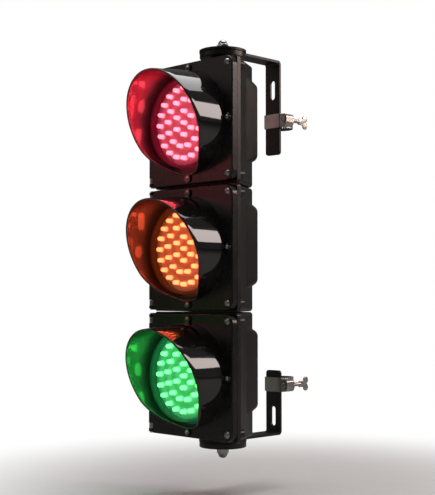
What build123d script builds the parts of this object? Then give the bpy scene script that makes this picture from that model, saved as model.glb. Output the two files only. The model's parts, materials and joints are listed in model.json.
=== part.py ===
"""Three-section traffic signal head on two L brackets, clamped to a round pole.

Origin: on the pole's axis, level with the middle of the head. +X is the viewer's right, +Y points from
the head back to the pole, +Z is up. The lamps shine towards -Y. Millimetres.
"""
from build123d import *
import os
from math import cos, pi, radians, sin, sqrt

# ---- driving dimensions -------------------------------------------------------------------------
PITCH = 150.0                 # height that one lamp section takes in the stack
SECTIONS = {"red": PITCH, "amber": 0.0, "green": -PITCH}
FAR = 200.0                   # well past a section, for cutting tools
RUNNING = 0.05                # radial clearance of a running fit
FREE = 0.3                    # radial clearance of a loose fit

POLE_R = 14.0                 # round pole that the clamps hold
PIVOT_TO_POLE = 108.0         # swivel axis to pole axis
FACE_TO_PIVOT = 58.0          # door front to swivel axis
FACE = -(PIVOT_TO_POLE + FACE_TO_PIVOT)   # Y of the doors' front face
PIVOT_Y = -PIVOT_TO_POLE

# door
DOOR = 146.0                  # width and height
DOOR_DEPTH = 8.0
DOOR_BACK = FACE + DOOR_DEPTH
DOOR_CORNER_R = 12.0
DOOR_EDGE_R = 1.4             # rounding of the front edge
APERTURE_R = 57.0             # light opening
LENS_R = 60.0                 # 125 mm class lens, in a counterbore of the door
LENS_SEAT = 3.0               # depth of the counterbore's floor behind the front face
LENS_CUP_R = 53.5             # the lens stands out of the aperture as a domed cup
LENS_CUP = 14.0               # height of the cup's side before the face
LENS_RISE = 7.0               # bulge of the cup's front
LENS_EDGE_R = 3.0
LENS_WALL = 2.0
GASKET = 1.0                  # lens gasket thickness
RIM_FRONT = LENS_SEAT + GASKET
RIM_BACK = RIM_FRONT + LENS_WALL
POCKET_X0, POCKET_X1 = 38.0, 69.0         # lightening pockets in the back of the door's corners
POCKET_FLOOR = 4.0
POCKET_RING = 67.0            # solid ring that stays round the lens
POCKET_BOSS = 7.0             # solid boss that stays round each door screw

# housing
SEAM = 2.5                    # gap between door and housing, which the seal fills
FLANGE = 142.0                # width
FLANGE_CORNER_R = 4.0
FLANGE_FRONT = DOOR_BACK + SEAM
BODY_FRONT = FLANGE_FRONT + 5.5
BODY_BACK = FACE + 74.0
BODY_W0, BODY_W1, BODY_H = 132.0, 70.0, 149.2
BODY_CORNER_R0, BODY_CORNER_R1 = 5.0, 4.0
BODY_EDGE_R = 2.5
WALL = 3.0
PAN_FRONT, PAN_BACK = FACE + 45.0, FACE + 77.0
PAN_Z = 5.0                   # the rear bulge sits a little above the section's centre
PAN_W0, PAN_W1, PAN_H0, PAN_H1 = 98.0, 84.0, 118.0, 94.0
PAN_EDGE_R = 3.5
CAVITY = 122.0                # opening in the flange
CAVITY_CORNER_R = 14.0
SEAL_W = 3.0

# hinge
HINGE_X = -DOOR / 2 + 4.5
HINGE_Y = FACE + 4.5
HINGE_R = HINGE_X + DOOR / 2  # rounding of the door's hinged edge
PIN_R = 2.0
PIN_HEAD_R, PIN_HEAD = 3.2, 1.6
PIN_DEPTH = 46.0              # how near the section's centre the pins reach
BUSH_R = 4.0
NOTCH_Z = 60.8                # the door's hinge corners are cut away beyond this height
NOTCH_W = 6.0                 # and this far inward of the hinge axis
LUG_R = 4.5
LUG_Z0, LUG_Z1 = 67.9, 71.5

# door screws
SCREW_X = SCREW_Z = 64.5
SCREW_R = 2.0
SCREW_HEAD_R = 4.25
SCREW_DOME_R, SCREW_DOME_SINK = 4.6, 1.4  # ball that forms the head, and its centre's depth
SCREW_LENGTH = 17.0           # from the door's face
SCREW_COLLAR = 0.8            # thickness of the ring that keeps the screw in the door
SCREW_WAY_R = 2.9             # the shank swings out of this hole with the door
SCREW_BOSS_R = 5.6

# visor
VISOR_R = 63.0
VISOR_WALL = 2.2
VISOR_TOP = 66.0              # reach of the hood at the top
VISOR_TIP_R = 56.4            # the hood narrows to this at its tip
VISOR_KNEE = (31.5, -32.0)    # reach and height where the straight front edge starts to curve back
VISOR_BEND = (19.5, -48.5)    # point that the curve passes
VISOR_HEEL_Z = -61.5          # height where the curve meets the foot ring
VISOR_FOOT = 2.5              # thickness of the ring that lies on the door
EAR_RADIUS = 66.5             # visor screws from the lamp's centre
EAR_R = 4.6
EAR_SCREW_R, EAR_HEAD_R, EAR_HEAD = 1.25, 2.6, 1.8
EAR_SCREW_DEPTH = 6.5

# lamp module
BOARD_FRONT = FACE - 4.5
BOARD_R = 50.5
BOARD_T = 1.6
BOARD_SCREWS = 3
BOARD_SCREW_RADIUS = BOARD_R - 2.6
BOARD_SCREW_R, BOARD_SCREW_HEAD_R = 1.25, 2.3
LED_R = 2.5
LED_COLLAR = 0.4
LED_TALL = 8.0
LED_RINGS = ((0.0, 1), (14.0, 6), (28.0, 13), (42.0, 20))   # radius and count of each ring
MODULE_BACK = 35.0            # behind the face
MODULE_BACK_R = 38.0
MODULE_RIM = 2.5
POST_R = 2.9
COLLAR_R0, COLLAR_R1 = 49.0, 51.0       # the module's front collar, inside the lens
LEAD_HOLE_R, LEAD_HOLE_Z = 4.0, -20.0
CLIP_W, CLIP_T = 8.0, 0.8
CLIP_TIP, CLIP_FOOT0, CLIP_FOOT1 = 57.8, 61.5, 66.0   # distances from the lamp's axis

# brackets and swivel
PAD_R = 29.0                  # round pad over the swivel
LEG_CORNER_R = 4.0
PLATE = 3.0
ARM_W = 24.0
PAD_Z = {"top": 243.0, "bottom": 229.0}   # inner face of each pad, out from the head's centre
LEG_TIP = {"top": 125.0, "bottom": 151.0}
BEND_R = 2.0
SLOT_W, SLOT_L = 8.0, 25.0
SLOT_Z = 209.0
CAP_R, CAP_H = 28.5, 7.0      # round caps: under the top pad, and outside the bottom pad
CAP_EDGE_R = 1.0
SIDE = {"top": 1, "bottom": -1}
STACK_END = {"top": PAD_Z["top"] + PLATE, "bottom": PAD_Z["bottom"] + PLATE + CAP_H}   # washers lie here
PIVOT_R = 4.0
HEX = 13.0                    # across flats of the pivot bolts and nuts
BOLT_HEAD = 5.5
BOLT_TIP = 9.0                # thread above the washer
WASHER_R, WASHER = 8.5, 1.5
SPACER_R = 14.0
NIPPLE_R, NIPPLE_BORE_R = 9.0, 6.5
NIPPLE_REACH = 12.0           # into each section
NUT_HEX, NUT_H = 24.0, 5.0

# clamps
BAND_Z = 169.0
BAND_W = 18.0
BAND_T = 0.9
WORM_X = POLE_R + BAND_T + 6.0
WORM_R = 3.4
WORM_BOX_Y0, WORM_BOX_Y1 = -19.0, -5.0
WING_T, WING_LOBE_R, WING_Y = 1.8, 4.5, 22.0

# cable gland in the bottom section's back, beside the bracket's leg
GLAND_X, GLAND_Z = -28.0, -25.0
GLAND_HEX, GLAND_HEX_H = 17.0, 5.0
GLAND_CAP_R, GLAND_CAP_H = 7.6, 7.0
GLAND_THREAD_R, GLAND_THREAD = 6.0, 10.0
GLAND_BORE_R, GLAND_RELIEF_R = 3.2, 4.2
GLAND_RELIEF = 2.0            # how far out the wide bore runs

# electronics on the housings' back walls
CONTROL_HALF = 30.0
CONTROL_T = 1.6
STANDOFF = 6.0
TERMINAL_WAYS, TERMINAL_PITCH = 6, 8.0
TERMINAL_Z = 28.0             # above the bottom section's centre


# ---- shape helpers --------------------------------------------------------------------------------
def block(x0, x1, y0, y1, z0, z1):
    """Box between two corners, in either order."""
    return Pos((x0 + x1) / 2, (y0 + y1) / 2, (z0 + z1) / 2) * Box(abs(x1 - x0), abs(y1 - y0), abs(z1 - z0))


def facing(y, z=0.0, x=0.0):
    """Sketch plane at depth y that looks to the back, centred on a section."""
    return Plane(origin=(x, y, z), x_dir=(1, 0, 0), z_dir=(0, 1, 0))


def slab(w, h, r, y0, y1):
    """Rounded rectangle from depth y0 to y1."""
    return extrude(facing(y0) * RectangleRounded(w, h, r), y1 - y0)


def taper(w0, h0, r0, y0, w1, h1, r1, y1, z=0.0):
    """Rounded rectangle that changes size from depth y0 to y1."""
    return loft([facing(y0, z) * RectangleRounded(w0, h0, r0), facing(y1, z) * RectangleRounded(w1, h1, r1)])


def disc(r, y0, y1, x=0.0, z=0.0):
    """Cylinder along Y."""
    return Pos(x, (y0 + y1) / 2, z) * Rot(90, 0, 0) * Cylinder(r, y1 - y0)


def rod(r, z0, z1, x=0.0, y=PIVOT_Y):
    """Cylinder along Z between two heights, in either order."""
    return Pos(x, y, (z0 + z1) / 2) * Cylinder(r, abs(z1 - z0))


def hex_rod(across, z0, z1):
    """Hexagonal prism along Z on the swivel axis, with the given width across flats."""
    low, high = min(z0, z1), max(z0, z1)
    hexagon = Plane(origin=(0, PIVOT_Y, low)) * RegularPolygon(across / 2, 6, major_radius=False)
    return extrude(hexagon, high - low)


def spun(points):
    """Solid of revolution about the swivel axis from (radius, height) points."""
    outline = make_face(Polyline(*[(r, 0, h) for r, h in points], close=True))
    return Pos(0, PIVOT_Y, 0) * revolve(outline, Axis.Z)


def bowl(points):
    """Solid of revolution about a section's lamp axis from (radius, depth behind the face) points."""
    outline = make_face(Polyline(*[(r, FACE + d, 0) for r, d in points], close=True))
    return revolve(outline, Axis.Y)


def group(shapes):
    """Separate solids in one node."""
    return Compound(children=[s for shape in shapes for s in shape.solids()])


def round_places(radius, count, first_degrees):
    """(x, z) of evenly spaced places round the lamp's axis."""
    angles = [radians(first_degrees) + 2 * pi * k / count for k in range(count)]
    return [(radius * cos(a), radius * sin(a)) for a in angles]


# ---- one lamp section, at height 0 ----------------------------------------------------------------
EARS = round_places(EAR_RADIUS, 4, 0)
BOARD_SCREW_PLACES = round_places(BOARD_SCREW_RADIUS, BOARD_SCREWS, 0)


def door():
    plate = slab(DOOR, DOOR, DOOR_CORNER_R, FACE, DOOR_BACK)
    plate = fillet(plate.edges().group_by(Axis.Y)[0], DOOR_EDGE_R)
    hinged_edge = rod(HINGE_R, -DOOR, DOOR, HINGE_X, HINGE_Y)
    plate &= block(HINGE_X, DOOR, FACE, DOOR_BACK, -DOOR, DOOR) + hinged_edge
    plate -= disc(APERTURE_R, FACE - 1, DOOR_BACK + 1)
    plate -= disc(LENS_R + FREE, FACE + LENS_SEAT, DOOR_BACK + 1)
    plate -= door_pockets()
    for side in (-1, 1):
        plate -= block(-FAR, HINGE_X + NOTCH_W, FACE - 1, DOOR_BACK + 1, side * NOTCH_Z, side * FAR)
        plate -= rod(PIN_R + RUNNING, side * (PIN_DEPTH - 0.5), side * (NOTCH_Z + 1), HINGE_X, HINGE_Y)
        plate -= disc(SCREW_R + FREE, FACE - 1, DOOR_BACK + 1, SCREW_X, side * SCREW_Z)
    for x, z in EARS:
        plate -= disc(EAR_SCREW_R, FACE - 1, FACE + EAR_SCREW_DEPTH + 0.5, x, z)
    return plate


def door_pockets():
    """Lightening pockets in the back of the door's four corners."""
    floor = FACE + POCKET_FLOOR
    inset = slab(DOOR - 8, DOOR - 8, DOOR_CORNER_R - 4, floor, DOOR_BACK + 1)
    pockets = None
    for side_z in (-1, 1):
        low, high = side_z * POCKET_X0, side_z * POCKET_X1
        free_corner = block(POCKET_X0, POCKET_X1, floor, DOOR_BACK + 1, low, high)
        free_corner -= disc(POCKET_BOSS, FACE, DOOR_BACK + 2, SCREW_X, side_z * SCREW_Z)
        z0, z1 = side_z * POCKET_X0, side_z * (NOTCH_Z - 3)
        hinge_corner = block(-NOTCH_Z + 1, -POCKET_X0, floor, DOOR_BACK + 1, z0, z1)
        corners = free_corner + hinge_corner
        pockets = corners if pockets is None else pockets + corners
    return (pockets - disc(POCKET_RING, FACE, DOOR_BACK + 2)) & inset


def visor():
    """Cutaway hood: a cone whose front edge leans back, on a foot ring with four screw ears."""
    knee_reach, knee_z = VISOR_KNEE
    bend_reach, bend_z = VISOR_BEND
    top_z = VISOR_R + 1
    knee = (FACE - knee_reach, knee_z)
    heel = (FACE - VISOR_FOOT, VISOR_HEEL_Z)
    side_view = Plane(origin=(-FAR, 0, 0), x_dir=(0, 1, 0), z_dir=(1, 0, 0))
    tip = (FACE - VISOR_TOP, VISOR_TIP_R)
    front_edge = Line(tip, knee)
    underside = ThreePointArc(knee, (FACE - bend_reach, bend_z), heel)
    back = Polyline(heel, (FACE - VISOR_FOOT, -top_z), (FACE, -top_z), (FACE, top_z),
                    (FACE - VISOR_TOP, top_z), tip)
    kept = extrude(side_view * make_face([front_edge, underside, back]), 2 * FAR)
    hood = visor_cone(0.0, 0.0) & kept
    for x, z in EARS:
        hood += disc(EAR_R, FACE - VISOR_FOOT, FACE, x, z)
    hood -= visor_cone(VISOR_WALL, 1.0)
    for x, z in EARS:
        hood -= disc(EAR_SCREW_R + 0.2, FACE - 10, FACE + 1, x, z)
    return hood


def visor_cone(inset, past):
    """Solid cone of the hood, smaller in radius by an inset and drawn out past both ends."""
    slope = (VISOR_R - VISOR_TIP_R) / VISOR_TOP
    front_r, back_r = VISOR_TIP_R - inset - slope * past, VISOR_R - inset + slope * past
    return bowl([(0, -VISOR_TOP - past), (front_r, -VISOR_TOP - past), (back_r, past), (0, past)])


def visor_screws():
    seat = FACE - VISOR_FOOT
    made = []
    for x, z in EARS:
        head = disc(EAR_HEAD_R, seat - EAR_HEAD, seat, x, z)
        made.append(head + disc(EAR_SCREW_R, seat, FACE + EAR_SCREW_DEPTH, x, z))
    return group(made)


def door_screws():
    """Domed screws that a collar keeps in the open door."""
    made = []
    for z in (-SCREW_Z, SCREW_Z):
        shank = disc(SCREW_R, FACE, FACE + SCREW_LENGTH, SCREW_X, z)
        collar = disc(SCREW_R + 1.2, DOOR_BACK, DOOR_BACK + SCREW_COLLAR, SCREW_X, z)
        ball = Pos(SCREW_X, FACE + SCREW_DOME_SINK, z) * Sphere(SCREW_DOME_R)
        dome = ball & disc(SCREW_HEAD_R, FACE - 2 * SCREW_DOME_R, FACE, SCREW_X, z)
        made.append(dome + shank + collar)
    return group(made)


def lens():
    """Domed cup with a flat rim that the gasket presses on."""
    rim = disc(LENS_R, FACE + RIM_FRONT, FACE + RIM_BACK)
    return lens_plug(0.0) + rim - lens_plug(LENS_WALL)


def lens_plug(inset):
    """Solid cup, drawn in from the lens's outside by an inset."""
    r, rise = LENS_CUP_R - inset, LENS_RISE * (1 - inset / LENS_CUP_R)
    front = FACE - LENS_CUP - LENS_RISE + inset
    ball_r = (r**2 + rise**2) / (2 * rise)
    plug = disc(r, front, FACE + RIM_BACK + inset) & Pos(0, front + ball_r, 0) * Sphere(ball_r)
    edge = plug.edges().filter_by(GeomType.CIRCLE).sort_by(Axis.Y)[0]
    return fillet(edge, LENS_EDGE_R - inset)


def lens_gasket():
    return disc(LENS_R, FACE + LENS_SEAT, FACE + RIM_FRONT) - disc(APERTURE_R, FACE, FACE + RIM_BACK)


def led_places():
    """Rings round the lamp's axis, each with an LED at the top."""
    places = []
    for radius, count in LED_RINGS:
        places += round_places(radius, count, 90)
    return places


def led_board():
    board = disc(BOARD_R, BOARD_FRONT, BOARD_FRONT + BOARD_T)
    for x, z in BOARD_SCREW_PLACES:
        board -= disc(BOARD_SCREW_R + 0.1, BOARD_FRONT - 1, BOARD_FRONT + BOARD_T + 1, x, z)
    return board


def leds():
    made = []
    tip_y = BOARD_FRONT - LED_TALL + LED_R
    for x, z in led_places():
        barrel = disc(LED_R, tip_y, BOARD_FRONT, x, z)
        collar = disc(LED_R + LED_COLLAR, BOARD_FRONT - 1.0, BOARD_FRONT, x, z)
        made.append(barrel + collar + Pos(x, tip_y, z) * Sphere(LED_R))
    return group(made)


def board_screws():
    """Screws that hold the LED board to the module's posts."""
    made = []
    for x, z in BOARD_SCREW_PLACES:
        head = disc(BOARD_SCREW_HEAD_R, BOARD_FRONT - 1.6, BOARD_FRONT, x, z)
        made.append(head + disc(BOARD_SCREW_R, BOARD_FRONT, BOARD_FRONT + 7.0, x, z))
    return group(made)


def lamp_module():
    """Cup behind the lens, with a collar inside the lens that carries the LED board."""
    flange_back = RIM_BACK + MODULE_RIM
    board_back = BOARD_FRONT + BOARD_T - FACE
    cup = bowl([(COLLAR_R1, board_back), (COLLAR_R1, RIM_BACK), (LENS_R, RIM_BACK), (LENS_R, flange_back),
                (57.0, flange_back), (56.5, 18.0), (MODULE_BACK_R, MODULE_BACK), (0, MODULE_BACK),
                (0, MODULE_BACK - 2), (MODULE_BACK_R - 1.5, MODULE_BACK - 2), (54.0, 17.0),
                (54.0, flange_back + 1.5), (COLLAR_R0, flange_back), (COLLAR_R0, board_back)])
    inside = disc(COLLAR_R1 - 0.5, BOARD_FRONT + BOARD_T, BOARD_FRONT + 10)
    for x, z in BOARD_SCREW_PLACES:
        cup += disc(POST_R, BOARD_FRONT + BOARD_T, BOARD_FRONT + 10, x, z) & inside
        cup -= disc(BOARD_SCREW_R, BOARD_FRONT, BOARD_FRONT + 7.2, x, z)
    cup -= disc(LEAD_HOLE_R, FACE + MODULE_BACK - 5, FACE + MODULE_BACK + 1, 0, LEAD_HOLE_Z)
    return cup


def module_clips():
    """Spring clips screwed to the back of the door that press the module and the lens home."""
    seat = FACE + RIM_BACK + MODULE_RIM
    tab = block(CLIP_TIP, CLIP_FOOT1, seat, seat + CLIP_T, -CLIP_W / 2, CLIP_W / 2)
    foot = block(CLIP_FOOT0, CLIP_FOOT1, DOOR_BACK, seat + CLIP_T, -CLIP_W / 2, CLIP_W / 2)
    return group([Rot(0, 45 + 90 * k, 0) * (tab + foot) for k in range(4)])


def housing():
    """Deep shell with a flange in front, a tapering body and a bulged back."""
    body = taper(BODY_W0, BODY_H, BODY_CORNER_R0, BODY_FRONT, BODY_W1, BODY_H, BODY_CORNER_R1, BODY_BACK)
    pan = taper(PAN_W0, PAN_H0, 8.0, PAN_FRONT, PAN_W1, PAN_H1, 8.0, PAN_BACK, PAN_Z)
    shell = slab(FLANGE, BODY_H, FLANGE_CORNER_R, FLANGE_FRONT, BODY_FRONT)
    shell += fillet(body.edges().group_by(Axis.Y)[-1], BODY_EDGE_R)
    shell += fillet(pan.edges().group_by(Axis.Y)[-1], PAN_EDGE_R)
    for z in (-SCREW_Z, SCREW_Z):
        shell += disc(SCREW_BOSS_R, FLANGE_FRONT, BODY_FRONT + 8, SCREW_X, z)
    shell -= housing_hollow()
    for side in (-1, 1):
        z0, z1 = side * LUG_Z0, side * LUG_Z1
        shell += rod(LUG_R, z0, z1, HINGE_X, HINGE_Y)
        shell += block(HINGE_X - LUG_R, HINGE_X + LUG_R, HINGE_Y, FLANGE_FRONT + 3, z0, z1)
        shell -= rod(PIN_R, side * (NOTCH_Z - 1), side * (LUG_Z1 + 5), HINGE_X, HINGE_Y)
        shell -= disc(SCREW_WAY_R, FLANGE_FRONT - 1, BODY_FRONT + 6, SCREW_X, side * SCREW_Z)
    return shell


def housing_hollow():
    """Space inside a housing."""
    inside = 2 * WALL
    hollow = slab(CAVITY, CAVITY, CAVITY_CORNER_R, FLANGE_FRONT - 1, BODY_FRONT)
    hollow += taper(BODY_W0 - inside - 2, BODY_H - inside, 12.0, BODY_FRONT,
                    BODY_W1 - inside, BODY_H - inside, 9.0, BODY_BACK - WALL)
    hollow += taper(PAN_W0 - inside, PAN_H0 - inside, 5.0, PAN_FRONT,
                    PAN_W1 - inside, PAN_H1 - inside, 5.0, PAN_BACK - WALL, PAN_Z)
    return hollow


def door_seal():
    """Rubber seal in the seam, inside the door screws."""
    inner_side, outer_side = CAVITY + 1, CAVITY + 1 + 2 * SEAL_W
    outer = slab(outer_side, outer_side, CAVITY_CORNER_R + SEAL_W + 0.5, DOOR_BACK + 0.1, FLANGE_FRONT)
    inner = slab(inner_side, inner_side, CAVITY_CORNER_R + 0.5, FACE, FLANGE_FRONT + 5)
    return outer - inner


def hinge_pins():
    made = []
    for side in (-1, 1):
        head_z = side * LUG_Z1
        shank = rod(PIN_R, side * PIN_DEPTH, head_z, HINGE_X, HINGE_Y)
        made.append(shank + rod(PIN_HEAD_R, head_z, head_z + side * PIN_HEAD, HINGE_X, HINGE_Y))
    return group(made)


def hinge_bushes():
    """Bright sleeves that space the door from the housing's lugs."""
    made = []
    for side in (-1, 1):
        sleeve = rod(BUSH_R, side * (NOTCH_Z + FREE), side * LUG_Z0, HINGE_X, HINGE_Y)
        made.append(sleeve - rod(PIN_R, side * (NOTCH_Z - 5), side * (LUG_Z0 + 5), HINGE_X, HINGE_Y))
    return group(made)


# ---- parts of the whole stack -----------------------------------------------------------------------
def housing_holes(name, shell):
    """Holes in a housing's top and bottom wall for what joins the stack there."""
    top_r = PIVOT_R + RUNNING if name == "red" else NIPPLE_R
    bottom_r = PIVOT_R + RUNNING if name == "green" else NIPPLE_R
    inside, outside = BODY_H / 2 - 2 * WALL, BODY_H / 2 + 2 * WALL
    return shell - rod(top_r, inside, outside) - rod(bottom_r, -inside, -outside)


def section_coupling():
    """Hollow threaded nipples, thin spacer rings and nuts that hold the sections together."""
    gap = (PITCH - BODY_H) / 2
    nipples, rings, nuts = [], [], []
    for joint_z in (PITCH / 2, -PITCH / 2):
        low, high = joint_z - gap, joint_z + gap
        nipple = rod(NIPPLE_R, low - NIPPLE_REACH, high + NIPPLE_REACH)
        nipples.append(nipple - rod(NIPPLE_BORE_R, low - FAR, high + FAR))
        rings.append(rod(SPACER_R, low, high) - rod(NIPPLE_R, low - 1, high + 1))
        for side in (-1, 1):
            inner = joint_z + side * (gap + WALL + 1.2)
            outer = inner + side * NUT_H
            nuts.append(hex_rod(NUT_HEX, inner, outer) - rod(NIPPLE_R, inner - side, outer + side))
    return group(nipples), group(rings), group(nuts)


def end_spacer(end):
    """Collar between the head's end and the pad. The top one spreads into a round cap."""
    side = SIDE[end]
    near, far = side * (PITCH + BODY_H / 2), side * (PAD_Z[end] - RUNNING)
    collar = rod(SPACER_R, near, far)
    if end == "top":
        collar += round_cap(far - CAP_H, far)
    return collar - rod(PIVOT_R + RUNNING, near - side, far + side)


def round_cap(z0, z1):
    """Thick disc on the swivel axis with rounded edges."""
    return fillet(rod(CAP_R, z0, z1).edges().filter_by(GeomType.CIRCLE), CAP_EDGE_R)


def bottom_cap():
    """Round cap between the bottom pad and its washer."""
    near = -PAD_Z["bottom"] - PLATE
    return round_cap(near - CAP_H, near) - rod(PIVOT_R, near + 1, near - CAP_H - 1)


def pivot_bolt(end):
    """Bolt of the swivel: its head is inside the end housing and its thread goes out through the pad."""
    side = SIDE[end]
    head_out = side * (PITCH + BODY_H / 2 - WALL - 2.5)
    tip = side * (STACK_END[end] + WASHER + BOLT_TIP)
    return rod(PIVOT_R, head_out, tip) + hex_rod(HEX, head_out - side * BOLT_HEAD, head_out)


def pivot_washer(end):
    side = SIDE[end]
    near, far = side * STACK_END[end], side * (STACK_END[end] + WASHER)
    return rod(WASHER_R, near, far) - rod(PIVOT_R, near - side, far + side)


def dome_nut(end):
    """Acorn nut over the bolt's tip."""
    base = STACK_END[end] + WASHER
    hex_h, corner_r, dome_r = 6.5, HEX / sqrt(3), 5.9
    chamfered = spun([(0, base), (6.6, base), (corner_r, base + 0.8), (corner_r, base + 5.4),
                      (6.2, base + hex_h), (0, base + hex_h)])
    dome = Pos(0, PIVOT_Y, base + hex_h) * Sphere(dome_r) & rod(dome_r, base + hex_h - 0.5, base + 2 * hex_h)
    nut = (hex_rod(HEX, base, base + hex_h) & chamfered) + dome - rod(PIVOT_R, base - 1, base + BOLT_TIP)
    return nut if end == "top" else mirror(nut, Plane.XY)


def bracket(end):
    """Round pad over the swivel, an arm to the pole and a leg bent along the pole."""
    leg_front, leg_back = -POLE_R - PLATE, -POLE_R
    inner, outer = PAD_Z[end], PAD_Z[end] + PLATE
    arm = block(-ARM_W / 2, ARM_W / 2, PIVOT_Y, leg_back, inner, outer)
    leg = block(-ARM_W / 2, ARM_W / 2, leg_front, leg_back, LEG_TIP[end], outer)
    made = rod(PAD_R, inner, outer) + arm + leg
    made = fillet(edges_at(made, Axis.X, leg_back, outer), PLATE + BEND_R)
    made = fillet(edges_at(made, Axis.X, leg_front, inner), BEND_R)
    made = fillet(made.edges().filter_by(Axis.Y).group_by(Axis.Z)[0], LEG_CORNER_R)
    made -= rod(PIVOT_R + 0.1, inner - 1, outer + 1)
    slot = extrude(SlotOverall(SLOT_L, SLOT_W, rotation=90), 2 * PLATE, both=True)
    made -= Pos(0, -POLE_R, SLOT_Z) * Rot(-90, 0, 0) * slot
    return made if end == "top" else mirror(made, Plane.XY)


def edges_at(shape, along, y, z):
    """Edges that run along an axis at one depth and height."""
    found = shape.edges().filter_by(along).filter_by_position(Axis.Y, y - 0.1, y + 0.1)
    return found.filter_by_position(Axis.Z, z - 0.1, z + 0.1)


def band_outline(grow):
    """D-shaped loop round the pole and the bracket's leg, grown outwards by the band's thickness."""
    r = POLE_R + grow
    front = POLE_R + PLATE + grow
    corner = 1.5 + grow
    body = Pos(0, -front / 2) * Rectangle(2 * r, front)
    body = fillet(body.vertices().group_by(Axis.Y)[0], corner)
    return body + Circle(r)


def clamp_band():
    loop = band_outline(BAND_T) - band_outline(0.0)
    return extrude(Plane(origin=(0, 0, -BAND_W / 2)) * loop, BAND_W)


def along_y(r, y0, y1):
    """Cylinder along Y on the worm screw's axis."""
    return disc(r, y0, y1, WORM_X)


def worm_housing():
    """Pressed box on the band's side that holds the worm screw."""
    half = BAND_W / 2 - 1.5
    box = block(POLE_R + BAND_T, WORM_X + WORM_R + 1.6, WORM_BOX_Y0, WORM_BOX_Y1, -half, half)
    box = fillet(box.edges().filter_by(Axis.Y).group_by(Axis.X)[-1], 4.5)
    return box - along_y(WORM_R + RUNNING, WORM_BOX_Y0 - 1, WORM_BOX_Y1 + 1)


def thumb_screw():
    """Worm screw with a two-lobed wing."""
    screw = along_y(WORM_R, WORM_BOX_Y0 + 0.5, -4.7) + along_y(3.0, WORM_BOX_Y0 - 2, WORM_BOX_Y0 + 0.5)
    neck = along_y(4.4, -4.7, -2.5) + along_y(2.8, -2.5, 10.5)
    side_view = Plane(origin=(WORM_X - WING_T / 2, 0, 0), x_dir=(0, 1, 0), z_dir=(1, 0, 0))
    wing = Pos(15.0, 0) * Rectangle(12.0, 8.0) + Pos(21.0, 0) * Rectangle(6.0, 6.0)
    for lobe_z in (-WING_LOBE_R, WING_LOBE_R):
        wing += Pos(WING_Y, lobe_z) * Circle(WING_LOBE_R)
    return screw + neck + extrude(side_view * wing, WING_T)


def cable_gland():
    """Compression gland in the back of the bottom section, with its cable hole open."""
    z = SECTIONS["green"] + GLAND_Z
    cap_y = PAN_BACK + GLAND_HEX_H
    made = disc(GLAND_THREAD_R, PAN_BACK - GLAND_THREAD, PAN_BACK, GLAND_X, z)
    hexagon = facing(PAN_BACK, z, GLAND_X) * RegularPolygon(GLAND_HEX / 2, 6, major_radius=False)
    made += extrude(hexagon, GLAND_HEX_H)
    made += disc(GLAND_CAP_R, cap_y, cap_y + GLAND_CAP_H, GLAND_X, z)
    made -= disc(GLAND_BORE_R, PAN_BACK, cap_y + GLAND_CAP_H + 1, GLAND_X, z)
    return made - disc(GLAND_RELIEF_R, PAN_BACK - GLAND_THREAD - 1, PAN_BACK + GLAND_RELIEF, GLAND_X, z)


def terminal_block():
    """Screw terminals on the back wall of the bottom section."""
    z = SECTIONS["green"] + TERMINAL_Z
    back = PAN_BACK - WALL
    front = back - 12
    half = TERMINAL_WAYS * TERMINAL_PITCH / 2
    base = block(-half, half, front, back, z - 7, z + 7)
    for k in range(TERMINAL_WAYS):
        x = (k - (TERMINAL_WAYS - 1) / 2) * TERMINAL_PITCH
        base -= disc(1.9, front - 1, front + 7, x, z)
        base -= block(x - 2, x + 2, front + 3, front + 8, z - 8, z - 3)
    return base


def control_board():
    """Flasher and radio receiver board on the back wall of the middle section."""
    back = PAN_BACK - WALL - STANDOFF
    z0, z1 = PAN_Z - CONTROL_HALF, PAN_Z + CONTROL_HALF
    return block(-CONTROL_HALF, CONTROL_HALF, back - CONTROL_T, back, z0, z1)


def control_parts():
    """Relays, receiver can and capacitor on the board."""
    front = PAN_BACK - WALL - STANDOFF - CONTROL_T
    relays = [block(x, x + 15, front - 12, front, PAN_Z + 6, PAN_Z + 26) for x in (-25, -8, 9)]
    receiver = block(-24, -6, front - 4, front, PAN_Z - 24, PAN_Z - 8)
    capacitor = disc(5.0, front - 11, front, 14, PAN_Z - 16)
    return group([*relays, receiver, capacitor])


def board_standoffs():
    back = PAN_BACK - WALL
    places = [(x, PAN_Z + z) for x in (-26, 26) for z in (-27, 27)]
    return group([disc(2.5, back - STANDOFF, back, x, z) for x, z in places])


# ---- the whole head -----------------------------------------------------------------------------------
SECTION_PARTS = {
    "door": door, "door_screws": door_screws, "visor": visor, "visor_screws": visor_screws, "lens": lens,
    "lens_gasket": lens_gasket, "lamp_module": lamp_module, "module_clips": module_clips,
    "led_board": led_board, "board_screws": board_screws, "leds": leds,
}
REPEATED_PARTS = {"door_seals": door_seal, "hinge_pins": hinge_pins, "hinge_bushes": hinge_bushes}


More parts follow.
